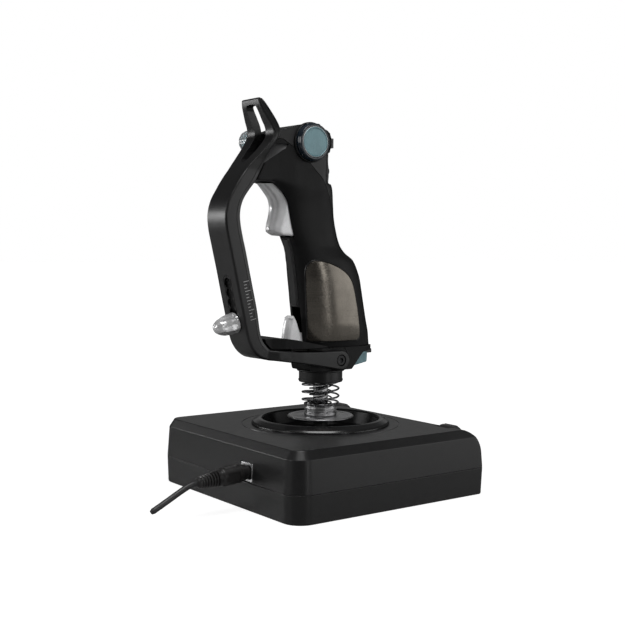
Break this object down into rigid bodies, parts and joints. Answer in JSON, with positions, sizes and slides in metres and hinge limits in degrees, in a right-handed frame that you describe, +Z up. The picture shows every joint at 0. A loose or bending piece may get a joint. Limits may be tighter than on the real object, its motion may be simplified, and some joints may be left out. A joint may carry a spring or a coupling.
{
  "type": "flight joystick",
  "caption": "Desktop flight joystick: square weighted base, gimballed shaft with sprung centring seat, twisting grip with trigger, hats and a loop-shaped hand guard.",
  "frame": {"origin": "on the base's flat underside, directly under the shaft's vertical axis; the rubber pads are flush with it", "axes": "+Z up along the resting shaft; +Y away from the user, towards the cable socket; +X to the user's right, the mode dial's side"},
  "size_m": [0.18, 0.2438, 0.2852],
  "materials": {
    "base_plastic": "satin black, fine texture",
    "ring_plastic": "semi-gloss black",
    "grip_soft": "soft-touch matt black",
    "guard_plastic": "satin black",
    "panel_metal": "satin gunmetal bronze",
    "silver_plastic": "satin silver",
    "knob_metal": "polished",
    "shaft_steel": "polished",
    "spring_steel": "drawn wire",
    "turned_steel": "turned",
    "teal_plastic": "satin teal",
    "navy_plastic": "gloss dark blue",
    "clear_dial": "clear, frosted inside",
    "button_plastic": "satin black",
    "red_plastic": "gloss red",
    "screw_steel": "zinc plated",
    "black_steel": "black oxide",
    "cast_metal": "as cast",
    "board_green": "solder mask",
    "socket_metal": "nickel plated",
    "bronze_bush": "turned",
    "cable_rubber": "matt dark grey",
    "foot_rubber": "matt"
  },
  "bodies": {
    "base": {"base_bottom": "base_plastic", "base_top": "base_plastic", "dish_ring": "ring_plastic", "base_screws": "screw_steel", "rubber_feet": "foot_rubber", "ballast_weights": "cast_metal", "gimbal_cradle": "cast_metal", "main_board": "board_green", "cable_socket": "socket_metal", "pitch_sensor": "board_green"},
    "pitch_ring": {"gimbal_ring": "cast_metal", "pitch_pins": "turned_steel", "sensor_magnet": "screw_steel"},
    "stick": {"shaft_block": "cast_metal", "roll_pins": "turned_steel", "stick_shaft": "shaft_steel", "twist_collar": "ring_plastic", "outer_spring": "spring_steel", "inner_spring": "spring_steel", "top_nut": "screw_steel"},
    "seat": {"seat_disc": "turned_steel", "spring_cup": "turned_steel"},
    "grip": {"twist_bush": "bronze_bush", "grip_foot": "grip_soft", "grip_left": "grip_soft", "grip_right": "grip_soft", "grip_screws": "black_steel", "front_spine": "guard_plastic", "side_panel_left": "panel_metal", "side_panel_right": "panel_metal", "head_housing": "guard_plastic", "badge_ring": "navy_plastic", "badge_cap": "teal_plastic", "guard": "guard_plastic", "guard_screws": "black_steel", "grip_board": "board_green", "trigger_pin": "turned_steel", "trigger_switch": "button_plastic", "pinkie_pin": "turned_steel", "hat_ring": "button_plastic"},
    "trigger_body": {"trigger": "silver_plastic"},
    "pinkie_body": {"pinkie_lever": "silver_plastic"},
    "hand_rest_body": {"hand_rest": "guard_plastic", "clamp_bolt": "screw_steel"},
    "knob": {"adjuster_knob": "knob_metal"},
    "dial": {"mode_dial": "clear_dial"},
    "upper_hat_rocker": {"upper_hat_cross": "screw_steel"},
    "upper_hat_body": {"upper_hat": "button_plastic"},
    "lower_hat_rocker": {"lower_hat_cross": "screw_steel"},
    "lower_hat_body": {"lower_hat": "button_plastic"},
    "fire": {"fire_button": "red_plastic"},
    "cover": {"safety_cover": "button_plastic"},
    "left_button": {"button_left": "button_plastic"},
    "right_button": {"button_right": "button_plastic"},
    "left_toggle": {"toggle_left": "button_plastic"},
    "right_toggle": {"toggle_right": "button_plastic"},
    "lock": {"twist_lock": "teal_plastic"},
    "plug_body": {"plug": "cable_rubber", "cable": "cable_rubber"}
  },
  "joints": [
    {"name": "pitch", "type": "hinge", "parent": "base", "child": "pitch_ring", "pos_m": [0, 0, 0.022], "axis": [1, 0, 0], "range_deg": [-15, 15]},
    {"name": "roll", "type": "hinge", "parent": "pitch_ring", "child": "stick", "pos_m": [0, 0, 0.022], "axis": [0, 1, 0], "range_deg": [-15, 15]},
    {"name": "seat_lift", "type": "slide", "parent": "stick", "child": "seat", "axis": [0, 0, 1], "range_m": [0, 0.004], "deforming": ["outer_spring", "inner_spring"]},
    {"name": "twist", "type": "hinge", "parent": "stick", "child": "grip", "pos_m": [0, 0, 0.098], "axis": [0, 0, 1], "range_deg": [-20, 20]},
    {"name": "trigger_pull", "type": "hinge", "parent": "grip", "child": "trigger_body", "pos_m": [0, 0.038, 0.2205], "axis": [-1, 0, 0], "range_deg": [0, 10]},
    {"name": "pinkie_pull", "type": "hinge", "parent": "grip", "child": "pinkie_body", "pos_m": [0, 0.017, 0.114], "axis": [1, 0, 0], "range_deg": [0, 12]},
    {"name": "hand_rest_height", "type": "slide", "parent": "grip", "child": "hand_rest_body", "axis": [0, 0.2215, 0.9751], "range_m": [0, 0.0285]},
    {"name": "knob_turn", "type": "hinge", "parent": "hand_rest_body", "child": "knob", "pos_m": [0, 0.0756, 0.127], "axis": [0, 0.9751, -0.2215], "continuous": true},
    {"name": "mode_turn", "type": "hinge", "parent": "grip", "child": "dial", "pos_m": [0.024, 0.046, 0.2574], "axis": [1, 0, 0], "range_deg": [-30, 30]},
    {"name": "upper_hat_tilt", "type": "hinge", "parent": "grip", "child": "upper_hat_rocker", "pos_m": [0.004, 0.004, 0.258], "axis": [1, 0, 0], "range_deg": [-10, 10]},
    {"name": "upper_hat_swing", "type": "hinge", "parent": "upper_hat_rocker", "child": "upper_hat_body", "pos_m": [0.004, 0.0006, 0.258], "axis": [0, 0, 1], "range_deg": [-10, 10]},
    {"name": "lower_hat_tilt", "type": "hinge", "parent": "grip", "child": "lower_hat_rocker", "pos_m": [0.004, 0.004, 0.224], "axis": [1, 0, 0], "range_deg": [-10, 10]},
    {"name": "lower_hat_swing", "type": "hinge", "parent": "lower_hat_rocker", "child": "lower_hat_body", "pos_m": [0.004, 0.0006, 0.224], "axis": [0, 0, 1], "range_deg": [-10, 10]},
    {"name": "fire_press", "type": "slide", "parent": "grip", "child": "fire", "axis": [0, 0, -1], "range_m": [0, 0.0015]},
    {"name": "cover_open", "type": "hinge", "parent": "grip", "child": "cover", "pos_m": [0.0072, 0.0221, 0.268], "axis": [-1, 0, 0], "range_deg": [0, 95]},
    {"name": "left_button_press", "type": "slide", "parent": "grip", "child": "left_button", "axis": [0, 1, 0], "range_m": [0, 0.0012]},
    {"name": "right_button_press", "type": "slide", "parent": "grip", "child": "right_button", "axis": [0, 1, 0], "range_m": [0, 0.0012]},
    {"name": "left_toggle_flip", "type": "hinge", "parent": "base", "child": "left_toggle", "pos_m": [-0.066, -0.07, 0.0416], "axis": [1, 0, 0], "range_deg": [-12, 12]},
    {"name": "right_toggle_flip", "type": "hinge", "parent": "base", "child": "right_toggle", "pos_m": [0.066, -0.07, 0.0416], "axis": [1, 0, 0], "range_deg": [-12, 12]},
    {"name": "lock_slide", "type": "slide", "parent": "grip", "child": "lock", "axis": [0, -1, 0], "range_m": [0, 0.003]},
    {"name": "plug_pull", "type": "slide", "parent": "base", "child": "plug_body", "axis": [0, 1, 0], "range_m": [0, 0.015]}
  ]
}
